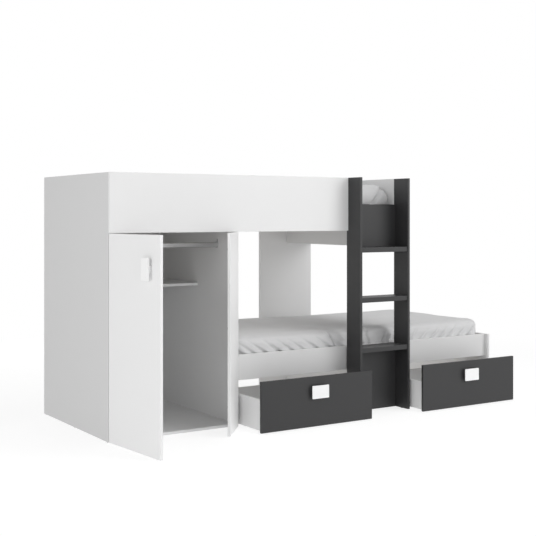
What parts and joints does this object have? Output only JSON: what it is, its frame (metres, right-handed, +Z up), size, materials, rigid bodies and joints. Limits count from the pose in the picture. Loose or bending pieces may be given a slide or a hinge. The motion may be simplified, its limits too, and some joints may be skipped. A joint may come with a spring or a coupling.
{
  "type": "offset bunk bed",
  "caption": "Offset bunk bed in white and anthracite board: wardrobe under the upper bunk, ladder, lower bunk with drawers.",
  "frame": {"origin": "centre of the footprint box on the floor, doors and drawers as stored", "axes": "+X along the bed from the wardrobe end to the lower bunk's foot, +Y towards the wall, +Z up"},
  "size_m": [2.735, 1.4486, 1.42],
  "materials": {
    "white_board": "matt white melamine",
    "anthracite_board": "matt anthracite melamine",
    "drawer_hardboard": "white lacquered hardboard",
    "slat_wood": "sanded pine",
    "mattress_cover": "cotton fitted sheet",
    "pillow_cotton": "cotton pillow case",
    "white_handle": "satin white",
    "hinge_steel": "nickel plated",
    "rail_steel": "satin steel",
    "fork_steel": "zinc plated",
    "wheel_plastic": "black nylon",
    "glide_plastic": "grey polyethylene"
  },
  "bodies": {
    "frame": {"left_end_panel": "white_board", "upper_end_panel": "white_board", "lower_end_panel": "white_board", "front_guard": "white_board", "rear_guard": "white_board", "left_stile": "anthracite_board", "right_stile": "anthracite_board", "tread_1": "anthracite_board", "tread_2": "anthracite_board", "tread_3": "anthracite_board", "ladder_guard": "anthracite_board", "kick_board": "anthracite_board", "rear_support": "white_board", "upper_cross_board": "white_board", "lower_cross_board": "white_board", "lower_front_rail": "white_board", "lower_rear_rail_left": "white_board", "lower_rear_rail_right": "white_board", "upper_ledgers": "slat_wood", "upper_slats": "slat_wood", "lower_ledgers": "slat_wood", "lower_slats": "slat_wood", "upper_mattress": "mattress_cover", "lower_mattress": "mattress_cover", "pillow": "pillow_cotton", "wardrobe_side": "white_board", "wardrobe_base": "white_board", "wardrobe_back": "white_board", "wardrobe_shelf": "white_board", "shelf_pins": "rail_steel", "hanging_rail": "rail_steel", "hanging_rail_brackets": "rail_steel", "left_hinge_arms": "hinge_steel", "right_hinge_arms": "hinge_steel", "floor_glides": "glide_plastic"},
    "left_door": {"left_door": "white_board", "left_door_handle": "white_handle", "left_hinge_cups": "hinge_steel"},
    "left_hinge_links": {"left_hinge_links": "hinge_steel"},
    "right_door": {"right_door": "white_board", "right_hinge_cups": "hinge_steel"},
    "right_hinge_links": {"right_hinge_links": "hinge_steel"},
    "left_drawer": {"left_drawer_front": "anthracite_board", "left_drawer_left_side": "white_board", "left_drawer_right_side": "white_board", "left_drawer_back": "white_board", "left_drawer_bottom": "drawer_hardboard", "left_drawer_handle": "white_handle", "left_drawer_wheel_forks": "fork_steel"},
    "left_drawer_front_wheels": {"left_drawer_front_wheels": "wheel_plastic"},
    "left_drawer_rear_wheels": {"left_drawer_rear_wheels": "wheel_plastic"},
    "right_drawer": {"right_drawer_front": "anthracite_board", "right_drawer_left_side": "white_board", "right_drawer_right_side": "white_board", "right_drawer_back": "white_board", "right_drawer_bottom": "drawer_hardboard", "right_drawer_handle": "white_handle", "right_drawer_wheel_forks": "fork_steel"},
    "right_drawer_front_wheels": {"right_drawer_front_wheels": "wheel_plastic"},
    "right_drawer_rear_wheels": {"right_drawer_rear_wheels": "wheel_plastic"}
  },
  "joints": [
    {"name": "left_hinge_swing", "type": "hinge", "parent": "frame", "child": "left_hinge_links", "pos_m": [-1.3435, -0.21567, 0.551], "axis": [0, 0, 1], "range_deg": [-36.27, 7.73]},
    {"name": "left_door_swing", "type": "hinge", "parent": "left_hinge_links", "child": "left_door", "pos_m": [-1.35297, -0.22833, 0.551], "axis": [0, 0, -1], "range_deg": [-119.57, 21.43]},
    {"name": "right_hinge_swing", "type": "hinge", "parent": "frame", "child": "right_hinge_links", "pos_m": [-0.6065, -0.21567, 0.551], "axis": [0, 0, -1], "range_deg": [-22, 17.9]},
    {"name": "right_door_swing", "type": "hinge", "parent": "right_hinge_links", "child": "right_door", "pos_m": [-0.5942, -0.22561, 0.551], "axis": [0, 0, 1], "range_deg": [-70.5, 56.4]},
    {"name": "left_drawer_slide", "type": "slide", "parent": "frame", "child": "left_drawer", "axis": [0, -1, 0], "range_m": [-0.235, 0.145]},
    {"name": "left_drawer_front_wheel_roll", "type": "hinge", "parent": "left_drawer", "child": "left_drawer_front_wheels", "pos_m": [-0.195, -0.39067, 0.02], "axis": [1, 0, 0], "continuous": true},
    {"name": "left_drawer_rear_wheel_roll", "type": "hinge", "parent": "left_drawer", "child": "left_drawer_rear_wheels", "pos_m": [-0.195, -0.08267, 0.02], "axis": [1, 0, 0], "continuous": true},
    {"name": "right_drawer_slide", "type": "slide", "parent": "frame", "child": "right_drawer", "axis": [0, -1, 0], "range_m": [-0.235, 0.145]},
    {"name": "right_drawer_front_wheel_roll", "type": "hinge", "parent": "right_drawer", "child": "right_drawer_front_wheels", "pos_m": [0.964, -0.39067, 0.02], "axis": [1, 0, 0], "continuous": true},
    {"name": "right_drawer_rear_wheel_roll", "type": "hinge", "parent": "right_drawer", "child": "right_drawer_rear_wheels", "pos_m": [0.964, -0.08267, 0.02], "axis": [1, 0, 0], "continuous": true}
  ],
  "couplings": [
    {"joint": "left_hinge_swing", "follows": "left_door_swing", "ratio": 0.29078},
    {"joint": "right_hinge_swing", "follows": "right_door_swing", "ratio": 0.29078},
    {"joint": "left_drawer_front_wheel_roll", "follows": "left_drawer_slide", "rad_per_m": 50},
    {"joint": "left_drawer_rear_wheel_roll", "follows": "left_drawer_slide", "rad_per_m": 50},
    {"joint": "right_drawer_front_wheel_roll", "follows": "right_drawer_slide", "rad_per_m": 50},
    {"joint": "right_drawer_rear_wheel_roll", "follows": "right_drawer_slide", "rad_per_m": 50}
  ]
}
